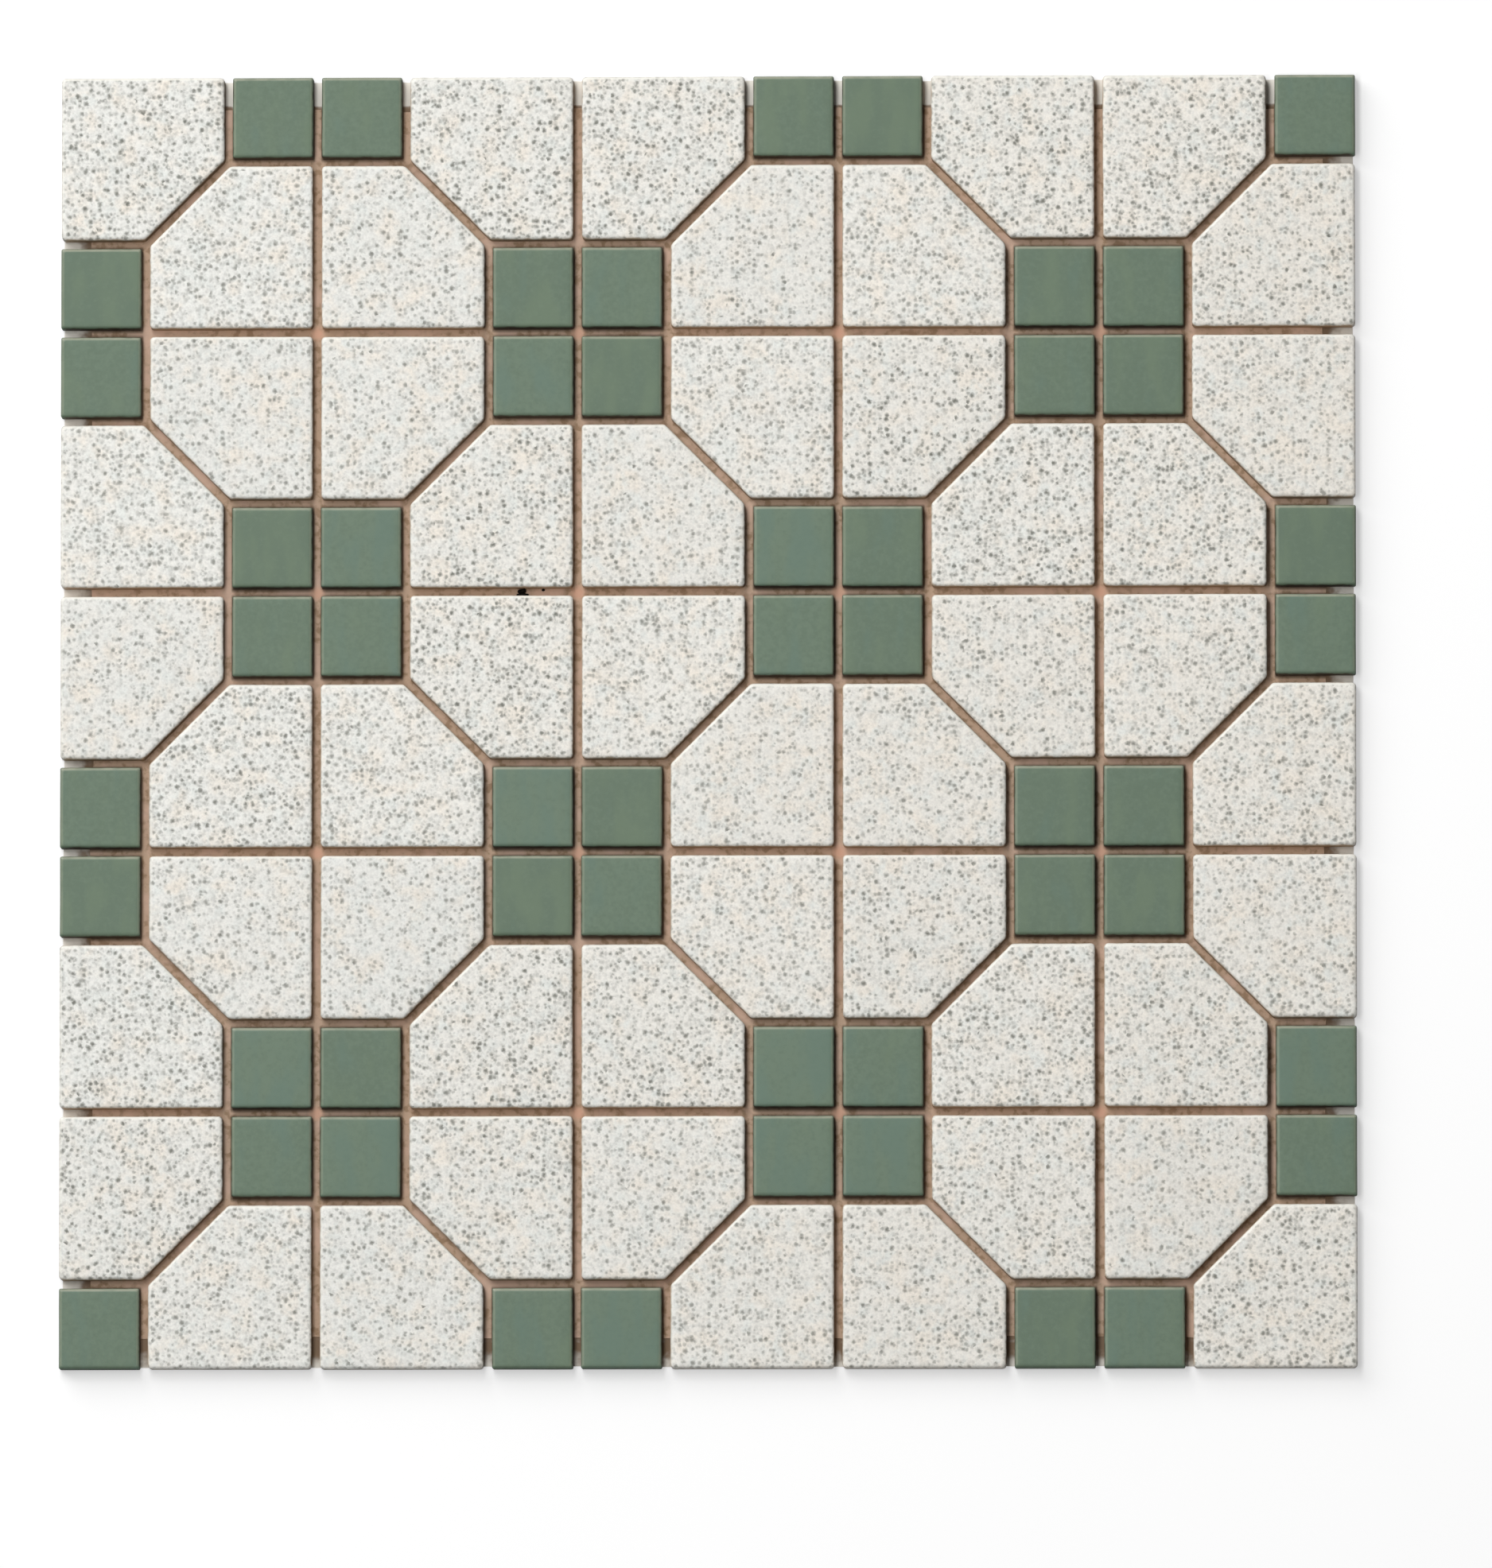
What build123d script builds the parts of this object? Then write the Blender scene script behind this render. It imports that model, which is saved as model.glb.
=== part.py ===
import os
from math import sqrt

from build123d import *

# An octagon-and-dot mosaic sheet lying face up: porcelain pieces glued to one paper backing.
# Each octagon is four square tiles that meet at its centre, each with its outer corner cut off.
# The origin is at the middle of the paper's underside, +Y runs to the sheet's top edge, +Z is the face.

# Driving dimensions, in millimetres
tile_side = 38.5  # long sides of a quarter tile
dot_side = 19.0
joint = 2.0  # open joint between any two pieces
tile_thickness = 5.0
corner_radius = 1.1  # round of a square corner, seen from above
arris_radius = 0.8  # round of the edge between face and side
paper_thickness = 0.3
paper_margin = 7.5  # how far the tiles reach past the paper
cells = 5  # octagon-and-dot cells along each edge of the sheet

# Sizes that follow from them
cell = tile_side + dot_side + 2 * joint
sheet_side = cells * cell - joint
paper_side = sheet_side - 2 * paper_margin
corner_cut = tile_side - dot_side - joint + joint / sqrt(2)  # leaves one joint between two cut corners
short_side = tile_side - corner_cut

# A small round is one flat that touches it at its middle
flat_per_radius = 2 - sqrt(2)
corner_flat = corner_radius * flat_per_radius
arris_flat = arris_radius * flat_per_radius

# Octagon centres and dot centres take turns on a square grid, half a joint outside the sheet's edges
near = joint / 2  # from a centre to the nearest side of its pieces
far = near + tile_side
row_letters = "abcdef"
face_plane = Plane.XY.offset(paper_thickness)


def grid_place(index):
    return (index - cells / 2) * cell


def piece_locations(column, row):
    # The quarter turns about one grid point whose piece lies on the sheet, counted from +X +Y
    quarters = {0: (1, 1), 90: (-1, 1), 180: (-1, -1), 270: (1, -1)}
    x = grid_place(column)
    y = -grid_place(row)
    inside = sheet_side / 2
    return [
        Location((x, y), turn)
        for turn, (step_x, step_y) in quarters.items()
        if abs(x + step_x * far) < inside and abs(y + step_y * far) < inside
    ]


# Outline of a quarter tile in the first quarter about its octagon's centre
with BuildSketch() as quarter_outline:
    with BuildLine():
        Polyline(
            (near, near),
            (far, near),
            (far, near + short_side),
            (near + short_side, far),
            (near, far),
            close=True,
        )
    make_face()
    cut_ends = vertices().sort_by_distance((far, far))[:2]
    chamfer(vertices() - cut_ends, corner_flat)

# Outline of a dot in the first quarter about its group's centre
with BuildSketch() as dot_outline:
    with Locations((near + dot_side / 2, near + dot_side / 2)):
        Rectangle(dot_side, dot_side)
    chamfer(vertices(), corner_flat)

os.makedirs("parts", exist_ok=True)

# One continuous sheet of paper under all the pieces
with BuildPart() as paper_backing:
    with BuildSketch():
        Rectangle(paper_side, paper_side)
    extrude(amount=paper_thickness)

paper_backing.part.label = "paper_backing"
export_step(paper_backing.part, "parts/paper_backing.step")

# The pieces about each grid point: up to four, and fewer where the sheet's edge passes through it
for row, letter in enumerate(row_letters):
    for column in range(cells + 1):
        is_octagon = (row + column) % 2 == 0
        outline = quarter_outline if is_octagon else dot_outline
        kind = "octagon" if is_octagon else "dots"
        name = f"{kind}_{letter}{column + 1}"

        with BuildPart() as group:
            with BuildSketch(face_plane):
                with Locations(*piece_locations(column, row)):
                    add(outline.sketch)
            extrude(amount=tile_thickness)
            chamfer(edges().group_by(Axis.Z)[-1], arris_flat)

        group.part.label = name
        export_step(group.part, f"parts/{name}.step")
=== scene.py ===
import math
import random

import bmesh
import bpy
from mathutils import Euler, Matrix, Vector


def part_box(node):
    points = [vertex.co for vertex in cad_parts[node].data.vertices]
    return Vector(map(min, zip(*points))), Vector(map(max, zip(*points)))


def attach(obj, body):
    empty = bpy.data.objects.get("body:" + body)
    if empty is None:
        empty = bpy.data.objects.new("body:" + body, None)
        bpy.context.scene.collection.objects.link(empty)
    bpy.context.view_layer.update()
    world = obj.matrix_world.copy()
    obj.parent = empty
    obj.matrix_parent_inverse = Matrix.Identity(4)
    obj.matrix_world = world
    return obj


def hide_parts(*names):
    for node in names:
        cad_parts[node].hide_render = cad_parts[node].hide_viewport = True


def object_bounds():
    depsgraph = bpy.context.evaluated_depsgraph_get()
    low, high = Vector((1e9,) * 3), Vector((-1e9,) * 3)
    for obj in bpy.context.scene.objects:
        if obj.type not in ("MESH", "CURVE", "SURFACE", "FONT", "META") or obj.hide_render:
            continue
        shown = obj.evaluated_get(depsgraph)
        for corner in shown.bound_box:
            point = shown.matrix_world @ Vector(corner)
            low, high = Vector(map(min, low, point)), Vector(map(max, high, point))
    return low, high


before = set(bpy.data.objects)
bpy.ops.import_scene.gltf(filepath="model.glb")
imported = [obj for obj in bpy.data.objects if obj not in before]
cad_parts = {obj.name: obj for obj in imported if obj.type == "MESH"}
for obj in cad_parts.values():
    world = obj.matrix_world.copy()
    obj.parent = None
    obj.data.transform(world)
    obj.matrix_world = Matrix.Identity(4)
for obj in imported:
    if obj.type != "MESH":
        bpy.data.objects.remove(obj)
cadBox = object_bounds()
mm = 0.001
hair = 0.01 * mm  # less than any size that matters

# Sizes of the sheet, read from the frame
tileLow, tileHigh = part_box("octagon_f6")  # a quarter tile by itself, in a corner of the sheet
dotLow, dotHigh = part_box("dots_a6")  # a dot by itself
octagonLow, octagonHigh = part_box("octagon_b2")
paperLow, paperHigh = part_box("paper_backing")
tileSide = tileHigh.x - tileLow.x
dotSide = dotHigh.x - dotLow.x
joint = octagonHigh.x - octagonLow.x - 2 * tileSide
cell = tileSide + dotSide + 2 * joint  # from an octagon's middle to the middle of the next group of dots
near = joint / 2  # from the middle of a group to the nearest sides of its pieces
cornerCut = tileSide - dotSide - joint + joint / math.sqrt(2)  # off a quarter tile's outer corner
faceLevel = tileHigh.z
backLevel = tileLow.z
sheetHalf = cadBox[1].x
cells = round(2 * sheetHalf / cell)  # along each edge of the sheet
print("frame loaded: %d nodes" % len(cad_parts))


# Selecting and shaping

def deselectAll():
    bpy.ops.object.select_all(action="DESELECT")


def select(*pieces):
    deselectAll()
    for piece in pieces:
        piece.select_set(True)
    bpy.context.view_layer.objects.active = pieces[0]


def pick(piece, kind, wanted):
    # kind is verts, edges or faces, and wanted says which of them are picked in edit mode
    bpy.ops.mesh.select_mode(type={"verts": "VERT", "edges": "EDGE", "faces": "FACE"}[kind])
    bpy.ops.mesh.select_all(action="DESELECT")
    shape = bmesh.from_edit_mesh(piece.data)
    for element in getattr(shape, kind):
        if wanted(element):
            element.select_set(True)
    bmesh.update_edit_mesh(piece.data)


def addPlane(name, size, middle):
    # A square to start a piece from, left in edit mode with all of it selected
    deselectAll()
    bpy.ops.mesh.primitive_plane_add(size=size, location=middle)
    plane = bpy.context.object
    plane.name = name
    bpy.ops.object.transform_apply(location=True, rotation=True, scale=True)
    bpy.ops.object.mode_set(mode="EDIT")
    bpy.ops.mesh.select_all(action="SELECT")
    return plane


def extrudeUp(rise):
    bpy.ops.mesh.extrude_region_move(TRANSFORM_OT_translate={"value": (0, 0, rise)})


def turnFacesOutward():
    bpy.ops.mesh.select_all(action="SELECT")
    bpy.ops.mesh.normals_make_consistent(inside=False)


def thickenSheet(drop):
    # Gives the active flat sheet its thickness, downwards
    bpy.ops.object.mode_set(mode="EDIT")
    bpy.ops.mesh.select_all(action="SELECT")
    extrudeUp(-drop)
    turnFacesOutward()
    bpy.ops.object.mode_set(mode="OBJECT")


def applyWander(piece, axis, strength, length):
    # Moves the points along one axis by a slow random wave
    wave = bpy.data.textures.new("wander", "CLOUDS")
    wave.noise_scale = length
    select(piece)
    wander = piece.modifiers.new("wander", "DISPLACE")
    wander.texture = wave
    wander.texture_coords = "LOCAL"
    wander.direction = axis
    wander.strength = strength
    bpy.ops.object.modifier_apply(modifier="wander")
    bpy.data.textures.remove(wave)


# Shader nodes

def color(*rgb):
    return (*rgb, 1.0)


def newMaterial(name):
    material = bpy.data.materials.new(name)
    material.use_nodes = True
    return material, material.node_tree, material.node_tree.nodes["Principled BSDF"]


def addNode(tree, kind, settings=None, **inputs):
    # An input is called by its socket's name, or by i and its number
    node = tree.nodes.new(kind)
    for name, value in (settings or {}).items():
        setattr(node, name, value)
    for name, value in inputs.items():
        socket = node.inputs[int(name[1:])] if name[1:].isdigit() else node.inputs[name]
        if isinstance(value, bpy.types.NodeSocket):
            tree.links.new(value, socket)
        else:
            socket.default_value = value
    return node


def calc(tree, operation, first, second=0.0):
    return addNode(tree, "ShaderNodeMath", {"operation": operation}, i0=first, i1=second).outputs[0]


def vectorCalc(tree, operation, first, second=(0, 0, 0)):
    return addNode(tree, "ShaderNodeVectorMath", {"operation": operation}, i0=first, i1=second).outputs[0]


def vectorNumber(tree, operation, first, second=(0, 0, 0)):
    return vectorCalc(tree, operation, first, second).node.outputs["Value"]


def axes(tree, vector):
    return addNode(tree, "ShaderNodeSeparateXYZ", Vector=vector).outputs


def attribute(tree, name):
    return addNode(tree, "ShaderNodeAttribute", {"attribute_name": name}).outputs["Fac"]


def mixColors(tree, amount, first, second, blend="MIX"):
    settings = {"data_type": "RGBA", "blend_type": blend}
    return addNode(tree, "ShaderNodeMix", settings, i0=amount, i6=first, i7=second).outputs[2]


def ramp(tree, value, low, high, start=0.0, end=1.0):
    settings = {"interpolation_type": "SMOOTHSTEP"}
    limits = {"i1": low, "i2": high, "i3": start, "i4": end}
    return addNode(tree, "ShaderNodeMapRange", settings, i0=value, **limits).outputs[0]


def placeInMillimetres(tree, stretch=(1, 1, 1)):
    place = addNode(tree, "ShaderNodeTexCoord").outputs["Object"]
    return vectorCalc(tree, "MULTIPLY", place, tuple(factor / mm for factor in stretch))


def cloud(tree, place, size, detail=2.0):
    # Soft noise whose blotches are about this many millimetres wide
    return addNode(tree, "ShaderNodeTexNoise", Vector=place, Scale=1 / size, Detail=detail).outputs[0]


def patches(tree, place, size, low, high, start=0.0, end=1.0, detail=2.0):
    # Blotches of this size: the start value where the noise is low, the end value where it is high
    return ramp(tree, cloud(tree, place, size, detail), low, high, start, end)


def fromSheetMiddle(tree, place):
    # How far out a point is, measured square to the sheet's edges
    parts = axes(tree, place)
    return calc(tree, "MAXIMUM", *[calc(tree, "ABSOLUTE", parts[axis]) for axis in "XY"])


def ownLuck(tree, tileShade, factor):
    # Another random value for each tile, from 0 to 1
    return calc(tree, "FRACT", calc(tree, "MULTIPLY", tileShade, factor))


def finishPlain(tree, shader, body, look):
    tree.links.new(body, shader.inputs["Base Color"])
    shader.inputs["Roughness"].default_value = look["roughness"]


# Wear, glue stains, a painted highlight and painted shade on the rims and sides of all tiles

rimLook = {
    "highlightSide": (-0.04, 1.0, 0.0),  # the rims that face this way, to the sheet's top, get a painted highlight on top of their wear
    "highlightFacing": (-0.5, 0.8),  # how squarely a rim faces that way for no painted highlight and for all of it
    # wear on rims that face away from the sheet's top, which get no painted highlight
    "wearLeast": 0.05,
    "paleRimInner": (0.0, 0.4),  # across the round, which runs from 0 at the face to 1 at the side
    "paleRimOuter": (1.05, 0.7),
    "paleRimPatch": (3.0, 0.25, 0.6, 0.6, 1.0),  # size in millimetres, limits of the noise, least and most
    "stainAndShadeStart": (0.58, 1.15),  # across the round and on down the side
    "stainAndShadePatch": (2.5, 0.3, 0.7, -0.12, 0.12),
    "stainLitShift": 0.15,  # how much farther out the stain and painted shade start on a rim that faces the sheet's top
    "shadeFacing": (0.3, 0.8),  # how squarely a side faces right, away from the lamps, for the darker painted shade
    "outerSides": (1.4, 0.4),  # millimetres from the sheet's edge where it fades, and where it is weakest
    "outerShadeLeft": 0.2,  # how much of the stain and painted shade is left there, outside the joints
}


def rimMarks(tree, place, look):
    # Pale rim: wear and painted highlight; darker rim and side: glue stain and painted shade; their colour
    rimPlace = attribute(tree, "rimPlace")
    normal = addNode(tree, "ShaderNodeTexCoord").outputs["Normal"]
    # Rims that face the sheet's top get a painted highlight
    litFacing = ramp(tree, vectorNumber(tree, "DOT_PRODUCT", normal, rimLook["highlightSide"]), *rimLook["highlightFacing"])
    wornAndHighlit = ramp(tree, rimPlace, *rimLook["paleRimInner"])
    wornAndHighlit = calc(tree, "MULTIPLY", wornAndHighlit, ramp(tree, rimPlace, *rimLook["paleRimOuter"]))
    wornAndHighlit = calc(tree, "MULTIPLY", wornAndHighlit, patches(tree, place, *rimLook["paleRimPatch"]))
    wornAndHighlit = calc(tree, "MULTIPLY", wornAndHighlit, calc(tree, "ADD", litFacing, rimLook["wearLeast"]))

    uneven = calc(tree, "ADD", rimPlace, patches(tree, place, *rimLook["stainAndShadePatch"]))
    uneven = calc(tree, "SUBTRACT", uneven, calc(tree, "MULTIPLY", litFacing, rimLook["stainLitShift"]))
    fade, weakest = [sheetHalf / mm - distance for distance in rimLook["outerSides"]]
    # Sides at the sheet's outer edge, outside the joints, keep little of the painted shade
    outsideLessShade = ramp(tree, fromSheetMiddle(tree, place), fade, weakest, 1.0, rimLook["outerShadeLeft"])
    stainAndShadeAmount = calc(tree, "MULTIPLY", ramp(tree, uneven, *rimLook["stainAndShadeStart"]), outsideLessShade)
    # Sides that face right, away from the lamps, get a darker painted shade
    facesRightShade = ramp(tree, axes(tree, normal)["X"], *rimLook["shadeFacing"])
    stainAndShadeColor = mixColors(tree, facesRightShade, look["sideStainAndShade"], look["rightSideStainAndShade"])
    return wornAndHighlit, stainAndShadeAmount, stainAndShadeColor


def finishTile(tree, shader, place, body, look):
    wornAndHighlit, stainAndShadeAmount, stainAndShadeColor = rimMarks(tree, place, look)
    # Pale rims: wear, and a painted highlight on the rims that face the sheet's top
    body = mixColors(tree, wornAndHighlit, body, look["rim"])
    body = mixColors(tree, stainAndShadeAmount, body, stainAndShadeColor)
    tree.links.new(body, shader.inputs["Base Color"])
    tree.links.new(ramp(tree, wornAndHighlit, 0.0, 1.0, *look["roughness"]), shader.inputs["Roughness"])


# Speckled porcelain of the quarter tiles

speckledLook = {
    "body": color(0.850, 0.849, 0.808),
    "cream": color(0.896, 0.828, 0.730),
    "cool": color(0.792, 0.816, 0.779),
    "speck": color(0.115, 0.117, 0.092),
    # pale rim: wear, and a painted highlight where it faces the sheet's top
    "rim": color(0.89, 0.87, 0.795),
    "sideStainAndShade": color(0.51, 0.365, 0.235),  # glue stain and painted shade on the sides, towards the paper, in the joints
    "rightSideStainAndShade": color(0.16, 0.106, 0.058),  # the same with more painted shade, on the sides that face right, away from the lamps
    "creamTone": (0.0, 0.15, 0.35),  # cream all over a tile: least, spread between tiles, growth to the right
    "creamSizes": (6.0, 16.0, 0.35),  # quick and slow blotches in millimetres, and the slow ones' share
    "creamPatch": (0.60, 0.92, 0.0, 0.85),  # limits of the noise, least and most
    "coolSize": 3.4,
    "coolSeed": 7.0,  # keeps the cool patches apart from the cream ones
    "coolPatch": (0.46, 0.74, 0.0, 0.72),
    "grainPatch": (0.5, 0.3, 0.7, 0.94, 1.06, 1.0),  # size, limits of the noise, least and most, detail
    "tileTone": (0.965, 0.05),  # darkest tile, and how much lighter the lightest is
    "specks": [  # layers of grains, in millimetres, with the strength of their weakest and strongest
        {"spacing": 1.3, "share": 0.9, "crowding": 0.15, "radius": 0.35, "spread": 0.27, "soft": 0.32,
         "strength": (0.05, 0.22)},
        {"spacing": 1.05, "share": 0.88, "crowding": 0.25, "radius": 0.26, "spread": 0.20, "soft": 0.30,
         "strength": (0.2, 0.60)},
        {"spacing": 1.35, "share": 0.58, "crowding": 0.4, "radius": 0.31, "spread": 0.24, "soft": 0.36,
         "strength": (0.36, 0.80)},
    ],
    "speckTone": (0.88, 1.11),  # weakest and strongest specks of a tile
    "speckWarp": (0.5, 0.5),  # size and amount in millimetres, so that they aren't round
    "crowdSize": 7.0,  # of the places with more specks
    "luck": (3.77, 7.31),  # draw a tile's cream and the strength of its specks out of its shade
    "roughness": (0.6, 0.3),  # of the face and of the pale rim, worn and with its painted highlight
}


def warped(tree, place, size, amount):
    # Places moved about by fine noise
    noise = addNode(tree, "ShaderNodeTexNoise", Vector=place, Scale=1 / size, Detail=1.0).outputs[1]
    centred = vectorCalc(tree, "SUBTRACT", noise, (0.5, 0.5, 0.5))
    return vectorCalc(tree, "ADD", place, vectorCalc(tree, "MULTIPLY", centred, (amount,) * 3))


def specks(tree, place, layer, crowding):
    # Grains of which some are left out, each with its own size and strength
    grain = addNode(tree, "ShaderNodeTexVoronoi", Vector=place, Scale=1 / layer["spacing"])
    luck = addNode(tree, "ShaderNodeSeparateColor", Color=grain.outputs["Color"]).outputs
    share = calc(tree, "ADD", calc(tree, "MULTIPLY", crowding, layer["crowding"]), layer["share"])
    present = calc(tree, "LESS_THAN", luck[0], share)
    radius = calc(tree, "ADD", calc(tree, "MULTIPLY", luck[1], layer["spread"]), layer["radius"])
    distance = calc(tree, "MULTIPLY", grain.outputs["Distance"], layer["spacing"])
    inside = ramp(tree, calc(tree, "SUBTRACT", radius, distance), -layer["soft"], layer["soft"])
    strength = ramp(tree, luck[2], 0.0, 1.0, *layer["strength"])
    return calc(tree, "MULTIPLY", calc(tree, "MULTIPLY", inside, present), strength)


def makeSpeckledPorcelain():
    look = speckledLook
    material, tree, shader = newMaterial("speckledPorcelain")
    place = placeInMillimetres(tree)
    tileShade = attribute(tree, "tileShade")
    creamLuck, speckLuck = [ownLuck(tree, tileShade, factor) for factor in look["luck"]]

    # Cream grows to the right, and cream and cool patches lie over it
    least, spread, growth = look["creamTone"]
    creamTone = ramp(tree, axes(tree, place)["X"], -sheetHalf / mm, sheetHalf / mm, least, least + growth)
    creamTone = calc(tree, "ADD", creamTone, calc(tree, "MULTIPLY", creamLuck, spread))
    body = mixColors(tree, creamTone, look["body"], look["cream"])
    quick, slow, slowShare = look["creamSizes"]
    creamCloud = calc(tree, "MULTIPLY", cloud(tree, place, slow), slowShare)
    creamCloud = calc(tree, "ADD", cloud(tree, place, quick), creamCloud)
    body = mixColors(tree, ramp(tree, creamCloud, *look["creamPatch"]), body, look["cream"])
    coolCloud = addNode(tree, "ShaderNodeTexNoise", {"noise_dimensions": "4D"}, Vector=place,
                        W=look["coolSeed"], Scale=1 / look["coolSize"], Detail=2.0).outputs[0]
    body = mixColors(tree, ramp(tree, coolCloud, *look["coolPatch"]), body, look["cool"])

    # Fine grain, and a tone for each tile
    darkest, lighter = look["tileTone"]
    tone = calc(tree, "ADD", calc(tree, "MULTIPLY", tileShade, lighter), darkest)
    tone = calc(tree, "MULTIPLY", patches(tree, place, *look["grainPatch"]), tone)
    body = mixColors(tree, 1.0, body, tone, "MULTIPLY")

    crowding = calc(tree, "SUBTRACT", cloud(tree, place, look["crowdSize"]), 0.5)
    crowding = calc(tree, "ADD", crowding, calc(tree, "SUBTRACT", tileShade, 0.5))
    speckTone = ramp(tree, speckLuck, 0.0, 1.0, *look["speckTone"])
    speckPlace = warped(tree, place, *look["speckWarp"])
    for layer in look["specks"]:
        amount = calc(tree, "MULTIPLY", specks(tree, speckPlace, layer, crowding), speckTone)
        body = mixColors(tree, amount, body, look["speck"])
    finishTile(tree, shader, place, body, look)
    return material


# Green porcelain of the dots

greenLook = {
    "body": color(0.140, 0.205, 0.141),
    "dark": color(0.114, 0.171, 0.115),
    "teal": color(0.116, 0.192, 0.148),
    "olive": color(0.142, 0.205, 0.128),
    # pale rim: wear, and a painted highlight where it faces the sheet's top
    "rim": color(0.345, 0.36, 0.272),
    # Glue stain and painted shade on the sides, with more painted shade on the sides facing right
    "sideStainAndShade": color(0.045, 0.033, 0.018),
    "rightSideStainAndShade": color(0.028, 0.020, 0.010),
    "mottleSize": 1.2,
    "mottleShares": (0.7, 0.3),  # of the noise and of the tile's own shade
    "mottlePatch": (0.3, 0.75),
    "driftSize": 6.0,
    "driftStretch": (1.0, 0.35, 1.0),  # teal and olive lie in upright bands
    "driftShare": 0.25,  # of the tile's own shade
    "tealPatch": (0.5, 0.75, 0.0, 0.6),
    "olivePatch": (0.48, 0.25, 0.0, 0.6),
    "roughness": (0.6, 0.3),
}


def makeGreenPorcelain():
    look = greenLook
    material, tree, shader = newMaterial("greenPorcelain")
    place = placeInMillimetres(tree)
    tileShade = attribute(tree, "tileShade")
    noiseShare, shadeShare = look["mottleShares"]
    mottle = calc(tree, "MULTIPLY", cloud(tree, place, look["mottleSize"]), noiseShare)
    mottle = calc(tree, "ADD", mottle, calc(tree, "MULTIPLY", tileShade, shadeShare))
    body = mixColors(tree, ramp(tree, mottle, *look["mottlePatch"]), look["dark"], look["body"])
    bands = placeInMillimetres(tree, look["driftStretch"])
    drift = calc(tree, "MULTIPLY", calc(tree, "SUBTRACT", tileShade, 0.5), look["driftShare"])
    drift = calc(tree, "ADD", cloud(tree, bands, look["driftSize"]), drift)
    body = mixColors(tree, ramp(tree, drift, *look["tealPatch"]), body, look["teal"])
    body = mixColors(tree, ramp(tree, drift, *look["olivePatch"]), body, look["olive"])
    finishTile(tree, shader, place, body, look)
    return material


# Kraft paper

paperLook = {
    "body": color(0.645, 0.462, 0.328),
    "dark": color(0.405, 0.265, 0.163),
    "peach": color(0.77, 0.545, 0.42),
    "darkPatch": (1.6, 0.45, 0.65, 0.0, 0.9, 3.0),  # size, limits of the noise, least and most, detail
    "peachPatch": (9.0, 0.48, 0.65, 0.0, 0.85, 3.0),
    "dotFootShade": color(0.075, 0.05, 0.028),  # painted shade on the paper round the foot of the dots
    "dotFootShadeSize": (0.75, 0.0, 0.0, 0.8),  # millimetres where it ends and where it is full, least and most
    "dotFootShadeSpread": (1.5, 0.72, 0),  # it reaches less far sideways than up and down
    "crossingLight": color(0.83, 0.50, 0.352),  # painted light on the paper where the joints cross, paler and pinker
    "crossingSize": (2.4, 0.4),  # millimetres from the crossing where the colour starts and where it is full
    "roughness": 0.9,
}


def placeInGroup(tree, place):
    # Place beside the middle of the nearest group of four pieces, and whether they are dots
    half = cell / 2 / mm
    shifted = vectorCalc(tree, "ADD", place, (half, half, 0))
    limits = {"i1": (half,) * 3, "i2": (-half,) * 3}
    inGroup = addNode(tree, "ShaderNodeVectorMath", {"operation": "WRAP"}, i0=shifted, **limits).outputs[0]
    inGroup = vectorCalc(tree, "MULTIPLY", inGroup, (1, 1, 0))
    count = vectorCalc(tree, "DIVIDE", vectorCalc(tree, "ADD", shifted, (half, half, 0)), (2 * half,) * 3)
    count = axes(tree, vectorCalc(tree, "FLOOR", count))
    isOctagon = calc(tree, "FLOORED_MODULO", calc(tree, "ADD", count["X"], count["Y"]), 2.0)
    return inGroup, calc(tree, "SUBTRACT", 1.0, isOctagon)


def makeKraftPaper():
    look = paperLook
    material, tree, shader = newMaterial("kraftPaper")
    place = placeInMillimetres(tree)
    body = mixColors(tree, patches(tree, place, *look["darkPatch"]), look["body"], look["dark"])
    body = mixColors(tree, patches(tree, place, *look["peachPatch"]), body, look["peach"])

    # Painted shade on the paper beside the dots' feet, then painted light where the joints cross
    inGroup, isDots = placeInGroup(tree, place)
    fromMiddle = vectorCalc(tree, "ABSOLUTE", inGroup)
    dotStart, dotEnd = near / mm, (near + dotSide) / mm
    innerGap = vectorCalc(tree, "SUBTRACT", (dotStart, dotStart, 0), fromMiddle)
    outerGap = vectorCalc(tree, "SUBTRACT", fromMiddle, (dotEnd, dotEnd, 0))
    gap = vectorCalc(tree, "MAXIMUM", vectorCalc(tree, "MAXIMUM", innerGap, outerGap), (0, 0, 0))
    gap = vectorNumber(tree, "LENGTH", vectorCalc(tree, "MULTIPLY", gap, look["dotFootShadeSpread"]))
    dotFootShade = calc(tree, "MULTIPLY", ramp(tree, gap, *look["dotFootShadeSize"]), isDots)
    body = mixColors(tree, dotFootShade, body, look["dotFootShade"])
    reach = vectorNumber(tree, "LENGTH", inGroup)
    # Painted light on the paper where the joints cross
    body = mixColors(tree, ramp(tree, reach, *look["crossingSize"]), body, look["crossingLight"])
    finishPlain(tree, shader, body, look)
    return material


# Painted shade in the joints' open ends: a skin under the sheet's edges

gapShadeLook = {
    "shadeDeep": color(0.24, 0.155, 0.09),  # darkest painted shade, beside the paper
    "shadeEdge": color(0.85, 0.81, 0.73),  # pale, at the sheet's edge, where the painted shade ends
    "reach": (145.5, 150.0),  # millimetres from the sheet's middle where the painted shade starts to pale and where it is palest
    "reachPatch": (2.5, 0.3, 0.7, -1.0, 1.0),
    "shadeShift": (-5.0, 2.6),  # millimetres farther out the painted shade reaches, at the top edge (there inward) and at the bottom edge
    "shadeShiftStart": (146.0, 147.0),  # millimetres from the sheet's middle where this begins and where it is full
    "roughness": 0.7,
}


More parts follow.
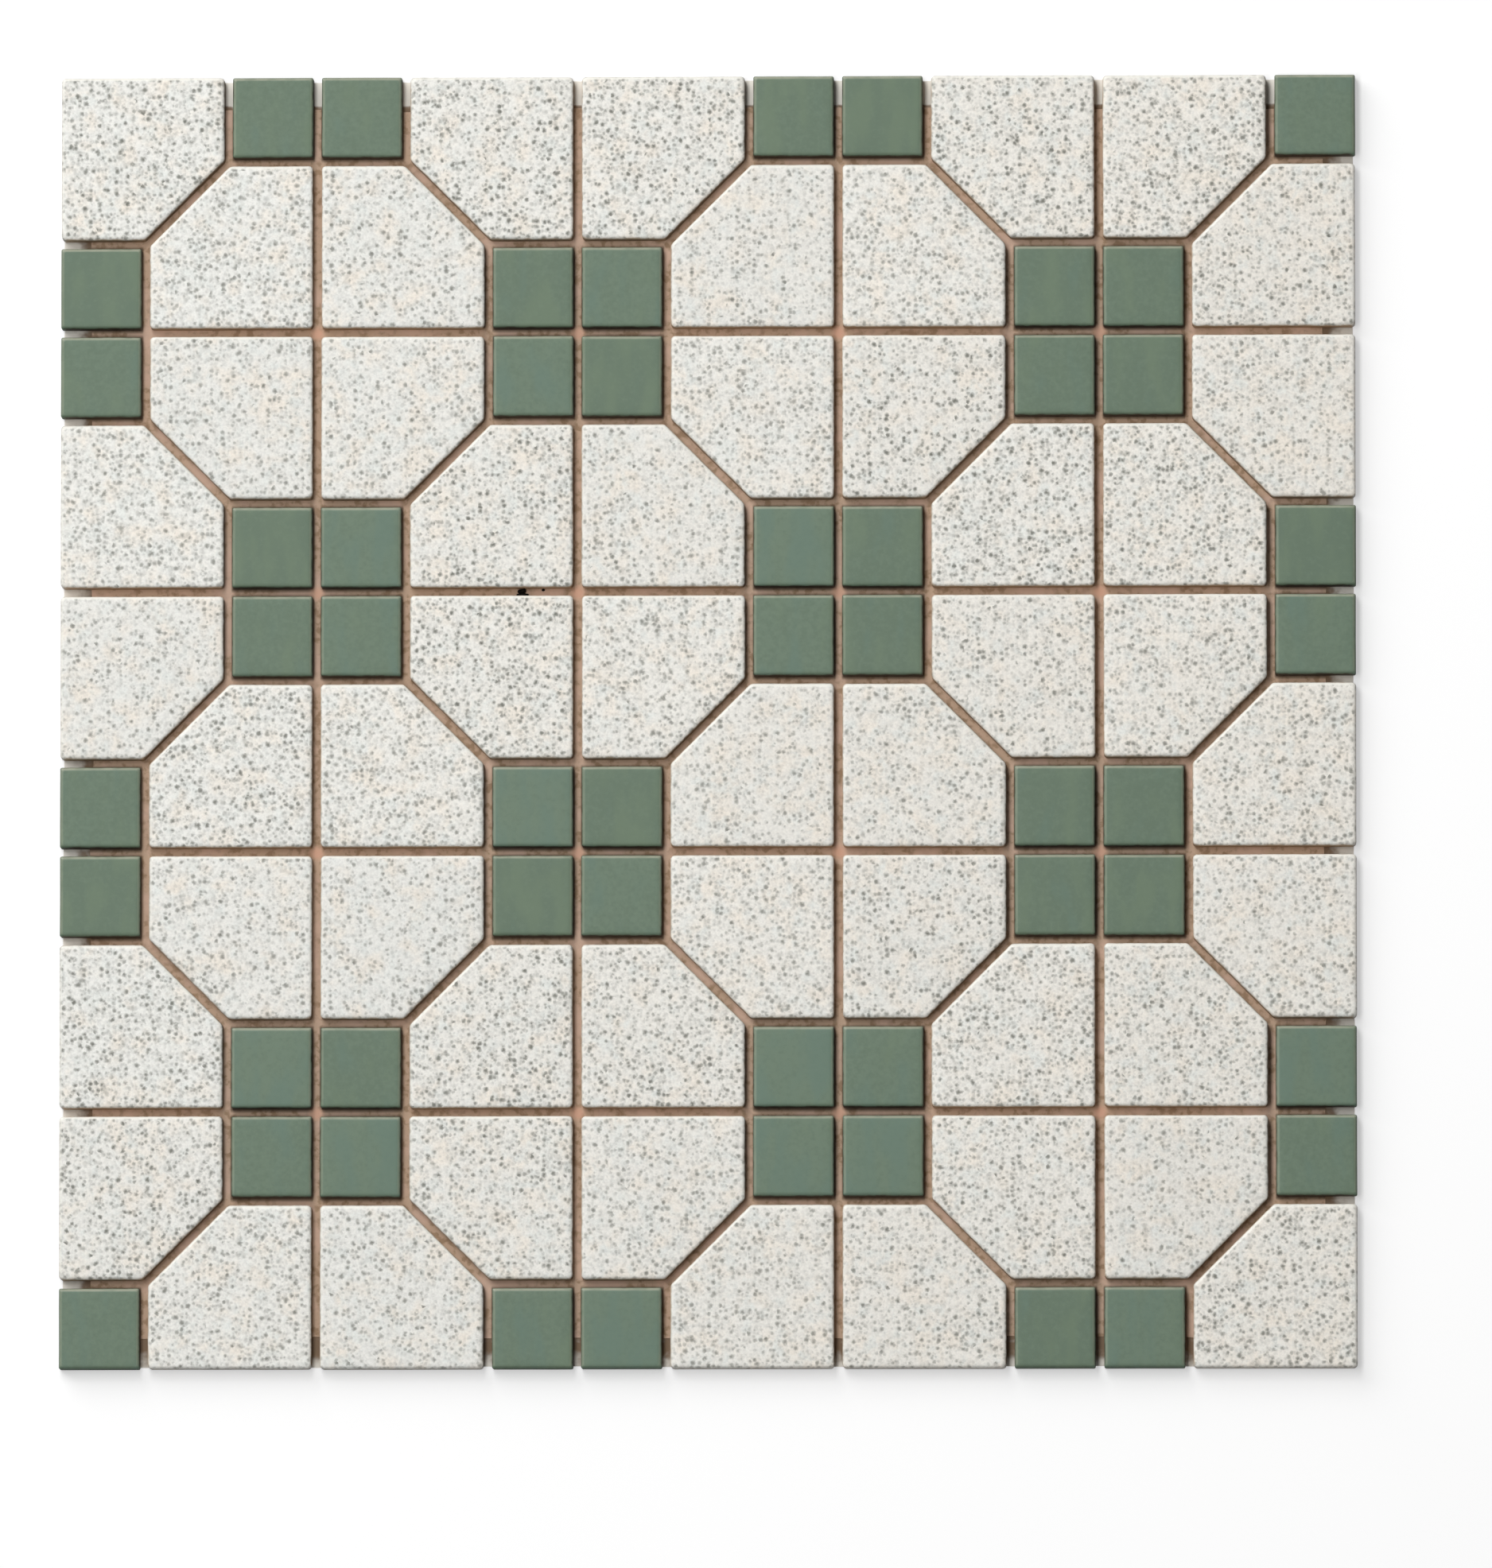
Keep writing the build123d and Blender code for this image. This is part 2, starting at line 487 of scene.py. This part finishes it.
def makeGapShadeSkin():
    look = gapShadeLook
    material, tree, shader = newMaterial("gapShadeSkin")
    place = placeInMillimetres(tree)
    upward = axes(tree, place)["Y"]
    start, end = look["shadeShiftStart"]
    topShift, bottomShift = look["shadeShift"]
    outward = calc(tree, "ADD", fromSheetMiddle(tree, place), patches(tree, place, *look["reachPatch"]))
    outward = calc(tree, "SUBTRACT", outward, ramp(tree, upward, start, end, 0.0, topShift))
    outward = calc(tree, "SUBTRACT", outward, ramp(tree, upward, -start, -end, 0.0, bottomShift))
    # Painted shade: dark beside the paper, pale at the sheet's edge, reaching farther out at the bottom edge
    body = mixColors(tree, ramp(tree, outward, *look["reach"]), look["shadeDeep"], look["shadeEdge"])
    finishPlain(tree, shader, body, look)
    return material


# Black dirt

dirtLook = {
    "body": color(0.006, 0.005, 0.004),
    "dust": color(0.018, 0.014, 0.010),
    "dustPatch": (0.5, 0.4, 0.7),
    "roughness": 0.9,
    "shine": 0.1,
}


def makeBlackDirt():
    look = dirtLook
    material, tree, shader = newMaterial("blackDirt")
    place = placeInMillimetres(tree)
    body = mixColors(tree, patches(tree, place, *look["dustPatch"]), look["body"], look["dust"])
    finishPlain(tree, shader, body, look)
    shader.inputs["Specular IOR Level"].default_value = look["shine"]
    return material


speckledPorcelain = makeSpeckledPorcelain()
greenPorcelain = makeGreenPorcelain()
kraftPaper = makeKraftPaper()
gapShadeSkin = makeGapShadeSkin()
blackDirt = makeBlackDirt()
print("materials made")

# Tiles

tileLook = {
    "cornerRound": {"quarterTile": 1.0 * mm, "greenDot": 0.45 * mm},  # seen from above
    "cutEndRound": 0.5 * mm,  # where the cut corner meets the sides
    "edgeRound": 0.9 * mm,  # between face and sides
    "roundSteps": 5,
    "edgeStep": 2.0 * mm,  # length of a straight stretch along the sides
    "crown": 0.06 * mm,  # the face rises this much to its middle
    "crownRings": [(0.97, 0.3), (0.84, 0.7), (0.55, 1.0)],  # share of the face's size, share of the rise
    "smoothAngle": 40,
    "layScale": 0.9992,  # room for the laying errors inside the sheet's size
    "shift": 0.05 * mm,  # laying errors
    "turn": 0.06,  # in degrees
    "wander": (0.08 * mm, 9.0 * mm),  # how far the sides leave a straight line, and over what length
    "seed": 11,
}


def outlineTile(tile, end, cut):
    # Cuts and rounds the corners of a square, in edit mode, and gives its sides points that can wander
    look = tileLook
    if cut:
        cutMiddle = end - cut / 2
        bpy.ops.mesh.bisect(plane_co=(cutMiddle, cutMiddle, 0), plane_no=(1, 1, 0), clear_outer=True)
        pick(tile, "verts", lambda v: v.co.x + v.co.y > 2 * cutMiddle - mm)
        bpy.ops.mesh.bevel(offset=look["cutEndRound"], segments=2, profile=0.5, affect="VERTICES")
    corners = [Vector((x, y)) for x in (near, end) for y in (near, end)]
    pick(tile, "verts", lambda v: any((v.co.xy - corner).length < hair for corner in corners))
    cornerRound = look["cornerRound"][tile.name]
    bpy.ops.mesh.bevel(offset=cornerRound, segments=look["roundSteps"], profile=0.5, affect="VERTICES")

    lengths = {round(e.calc_length() / mm, 2) for e in bmesh.from_edit_mesh(tile.data).edges}
    for length in sorted(lengths, reverse=True):
        if length * mm > 2 * look["edgeStep"]:
            pick(tile, "edges", lambda e: abs(e.calc_length() - length * mm) < 2 * hair)
            bpy.ops.mesh.subdivide(number_cuts=int(length * mm / look["edgeStep"]))
    pick(tile, "faces", lambda f: True)
    bpy.ops.mesh.dissolve_faces()


def raiseFace(tile, half, heart):
    # Rings that round the rim of the face and then raise it to its crown, each with its half size and rise
    look = tileLook
    edge = look["edgeRound"]
    rings = []
    for step in range(1, look["roundSteps"] + 1):
        angle = math.pi / 2 * step / look["roundSteps"]
        rings.append((half - edge * (1 - math.cos(angle)), edge * math.sin(angle)))
    for size, rise in look["crownRings"]:
        rings.append((size * (half - edge), edge + rise * look["crown"]))
    pick(tile, "faces", lambda f: f.normal.z > 0.9)
    lastSize, lastRise = half, 0.0
    for size, rise in rings:
        extrudeUp(rise - lastRise)
        scale = size / lastSize
        bpy.ops.transform.resize(value=(scale, scale, 1), center_override=(heart, heart, 0))
        lastSize, lastRise = size, rise


def markRim(tile, rimLevel):
    # How far out on the rim a point is: 0 on the face, 1 where the round meets the side, 2 at the back
    edge = tileLook["edgeRound"]
    rim = tile.data.attributes.new("rimPlace", "FLOAT", "POINT")
    for vertex, mark in zip(tile.data.vertices, rim.data):
        drop = max(0.0, rimLevel - vertex.co.z) / edge
        mark.value = math.sqrt(1 - (1 - drop) ** 2) if drop < 1 else 1.0
        if drop > 1.1:
            mark.value = 2.0


def modelTile(name, side, cut):
    half = side / 2
    middle = near + half
    heart = middle  # the rings of the rim and the face shrink to this point
    if cut:
        heart = near + (2 * side - cut) / (2 + math.sqrt(2))  # as far from the cut as from the near sides
    rimLevel = faceLevel - tileLook["crown"] - hair  # inside the sheet's size
    sideLevel = rimLevel - tileLook["edgeRound"]

    tile = addPlane(name, side, (middle, middle, sideLevel))
    outlineTile(tile, near + side, cut)
    pick(tile, "faces", lambda f: True)
    extrudeUp(backLevel - sideLevel)
    turnFacesOutward()
    raiseFace(tile, half, heart)
    bpy.ops.object.mode_set(mode="OBJECT")
    bpy.ops.object.shade_smooth_by_angle(angle=math.radians(tileLook["smoothAngle"]))
    markRim(tile, rimLevel)
    return tile


def layTile(master, x, y, quarter, luck):
    tile = master.copy()
    tile.data = master.data.copy()
    bpy.context.collection.objects.link(tile)
    shift = tileLook["shift"]
    tile.location = (x + luck.uniform(-shift, shift), y + luck.uniform(-shift, shift), 0)
    tile.rotation_euler.z = math.radians(90 * quarter + luck.uniform(-1, 1) * tileLook["turn"])
    shade = tile.data.attributes.new("tileShade", "FLOAT", "FACE")
    shade.data.foreach_set("value", [luck.random()] * len(tile.data.polygons))
    return tile


def layGroup(node, name, master, material, luck):
    # Up to four copies about one point of the grid, those that lie on the sheet
    row, column = "abcdef".index(node[-2]), int(node[-1]) - 1
    x = (column - cells / 2) * cell
    y = (cells / 2 - row) * cell
    quarters = [(1, 1), (-1, 1), (-1, -1), (1, -1)]
    tiles = [
        layTile(master, x * tileLook["layScale"], y * tileLook["layScale"], quarter, luck)
        for quarter, (stepX, stepY) in enumerate(quarters)
        if abs(x + stepX * cell / 2) < sheetHalf and abs(y + stepY * cell / 2) < sheetHalf
    ]
    select(*tiles)
    bpy.ops.object.transform_apply(location=True, rotation=True, scale=True)
    if len(tiles) > 1:
        bpy.ops.object.join()
    group = bpy.context.object
    group.name = name
    group.data.name = name
    bpy.context.scene.cursor.location = (0, 0, 0)
    bpy.ops.object.origin_set(type="ORIGIN_CURSOR")
    for axis in "XY":
        applyWander(group, axis, *tileLook["wander"])
    group.data.materials.clear()
    group.data.materials.append(material)
    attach(group, "root")
    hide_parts(node)


quarterTile = modelTile("quarterTile", tileSide, cornerCut)
greenDot = modelTile("greenDot", dotSide, 0)
print("tiles modelled: %d and %d faces" % (len(quarterTile.data.polygons), len(greenDot.data.polygons)))

luck = random.Random(tileLook["seed"])
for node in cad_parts:
    if node.startswith("octagon"):
        layGroup(node, "speckled_" + node, quarterTile, speckledPorcelain, luck)
    elif node.startswith("dots"):
        layGroup(node, "green_" + node, greenDot, greenPorcelain, luck)
bpy.data.objects.remove(quarterTile)
bpy.data.objects.remove(greenDot)
print("tiles laid")

# Paper backing, one sheet with an unevenly cut edge

paperShape = {
    "edgeCuts": 90,  # points along each edge
    "waves": [(2.4 * mm, 45 * mm), (0.8 * mm, 7 * mm)],  # how far the edge leaves a line, over what length
}
paperSheet = addPlane("kraft_paper_sheet", paperHigh.x - paperLow.x, (0, 0, paperHigh.z))
bpy.ops.mesh.subdivide(number_cuts=paperShape["edgeCuts"])
bpy.ops.mesh.dissolve_faces()
bpy.ops.object.mode_set(mode="OBJECT")
for axis in "XY":
    for wave in paperShape["waves"]:
        applyWander(paperSheet, axis, *wave)
thickenSheet(paperHigh.z - paperLow.z)
paperSheet.data.materials.append(kraftPaper)
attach(paperSheet, "root")
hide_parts("paper_backing")
print("paper cut: %d faces" % len(paperSheet.data.polygons))

# Dark skin round the paper, a ring of painted shade that shows in the joints' open ends

gapShadeShape = {
    "edge": 0.7 * mm,  # how far it stays inside the sheet's edge
    "width": 10 * mm,
    "level": (0.02 * mm, 0.08 * mm),  # underside and top
    "edgeCuts": 90,
    "wave": (0.7 * mm, 6 * mm),
}
shadeLow, shadeHigh = gapShadeShape["level"]
gapShadeRing = addPlane("gap_shade_skin", 2 * (sheetHalf - gapShadeShape["edge"]), (0, 0, shadeHigh))
bpy.ops.mesh.inset(thickness=gapShadeShape["width"])
bpy.ops.mesh.delete(type="FACE")
pick(gapShadeRing, "edges", lambda e: e.is_boundary)
bpy.ops.mesh.subdivide(number_cuts=gapShadeShape["edgeCuts"])
bpy.ops.object.mode_set(mode="OBJECT")
for axis in "XY":
    applyWander(gapShadeRing, axis, *gapShadeShape["wave"])
thickenSheet(shadeHigh - shadeLow)
gapShadeRing.data.materials.append(gapShadeSkin)
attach(gapShadeRing, "root")
print("glue skin laid: %d faces" % len(gapShadeRing.data.polygons))

# Crumbs of black dirt, stuck to the paper in the joints

crumbShape = {"sink": 0.42, "rough": 0.4, "roughLength": 0.35}  # as shares of a crumb's height
crumbs = {
    "dirt_crumb_top": {"place": (-43.9 * mm, 31.1 * mm), "size": (2.0 * mm, 1.1 * mm, 1.9 * mm)},
    "dirt_crumb_foot": {"place": (-43.8 * mm, 30.2 * mm), "size": (3.0 * mm, 0.9 * mm, 1.4 * mm)},
    "dirt_grain": {"place": (-38.9 * mm, 31.4 * mm), "size": (0.8 * mm, 0.6 * mm, 0.5 * mm)},
}
for name, look in crumbs.items():
    deselectAll()
    height = look["size"][2]
    bpy.ops.mesh.primitive_ico_sphere_add(subdivisions=3, radius=0.5)
    crumb = bpy.context.object
    crumb.name = name
    crumb.scale = look["size"]
    crumb.location = (*look["place"], paperHigh.z + crumbShape["sink"] * height)
    bpy.ops.object.transform_apply(location=True, rotation=True, scale=True)
    for axis in "XYZ":
        applyWander(crumb, axis, crumbShape["rough"] * height, crumbShape["roughLength"] * height)
    bpy.ops.object.shade_smooth()
    crumb.data.materials.append(blackDirt)
    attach(crumb, "root")
print("dirt placed")

# Floor, light and camera

studioLook = {
    "floor": color(0.62, 0.62, 0.62),
    "floorSize": 8.0,
    "floorLevel": -0.02 * mm,  # just under the sheet
    "floorLift": 0.45,  # added where the camera sees the floor, so that it is white all over
    "surround": 0.155,  # light from all round
}
lampLooks = {  # lean is in degrees off overhead, to the sheet's top and to its left
    "softbox": {"size": (0.33, 1.2), "distance": 1.5, "lean": (9.0, 9.3), "power": 12.5},
    "window": {"size": (2.8, 2.8), "distance": 3.5, "lean": (40.0, 47.0), "power": 80.0},
}
cameraLook = {
    "distance": 5.0,  # above the tiles' faces
    "foot": (143.8 * mm, -416.1 * mm),  # the point of the sheet's plane right under the camera
    "lean": (4.585, 1.544),  # degrees about X and Y
    "lens": 489.38,
    "sensor": 36.0,
    "clipStart": 0.01,
}


def makeFloorWhite():
    material, tree, shader = newMaterial("floorWhite")
    shader.inputs["Base Color"].default_value = studioLook["floor"]
    shader.inputs["Roughness"].default_value = 1.0
    shader.inputs["Specular IOR Level"].default_value = 0.0
    shader.inputs["Emission Color"].default_value = color(1, 1, 1)
    seen = addNode(tree, "ShaderNodeLightPath").outputs["Is Camera Ray"]
    lift = calc(tree, "MULTIPLY", seen, studioLook["floorLift"])
    tree.links.new(lift, shader.inputs["Emission Strength"])
    return material


def lightSurround():
    world = bpy.data.worlds.new("studio")
    bpy.context.scene.world = world
    world.use_nodes = True
    tree = world.node_tree
    background = tree.nodes["Background"]
    background.inputs["Color"].default_value = color(1, 1, 1)
    seen = addNode(tree, "ShaderNodeLightPath").outputs["Is Camera Ray"]
    strength = calc(tree, "MAXIMUM", seen, studioLook["surround"])
    tree.links.new(strength, background.inputs["Strength"])


deselectAll()
bpy.ops.mesh.primitive_plane_add(size=studioLook["floorSize"], location=(0, 0, studioLook["floorLevel"]))
floor = bpy.context.object
floor.name = "floor"
floor.data.materials.append(makeFloorWhite())

for name, look in lampLooks.items():
    lean = Euler([-math.radians(angle) for angle in (*look["lean"], 0)])
    place = Vector((0, 0, look["distance"]))
    place.rotate(lean)
    bpy.ops.object.light_add(type="AREA", location=place, rotation=lean)
    lamp = bpy.context.object
    lamp.name = name
    lamp.data.shape = "RECTANGLE"
    lamp.data.size, lamp.data.size_y = look["size"]
    lamp.data.energy = look["power"]
lightSurround()

bpy.ops.object.camera_add(location=(*cameraLook["foot"], faceLevel + cameraLook["distance"]))
camera = bpy.context.object
camera.name = "camera"
camera.rotation_euler = [math.radians(angle) for angle in (*cameraLook["lean"], 0)]
camera.data.sensor_fit = "AUTO"
camera.data.sensor_width = cameraLook["sensor"]
camera.data.lens = cameraLook["lens"]
camera.data.clip_start = cameraLook["clipStart"]
bpy.context.scene.camera = camera
bpy.context.scene.view_settings.view_transform = "Standard"
print("studio set")
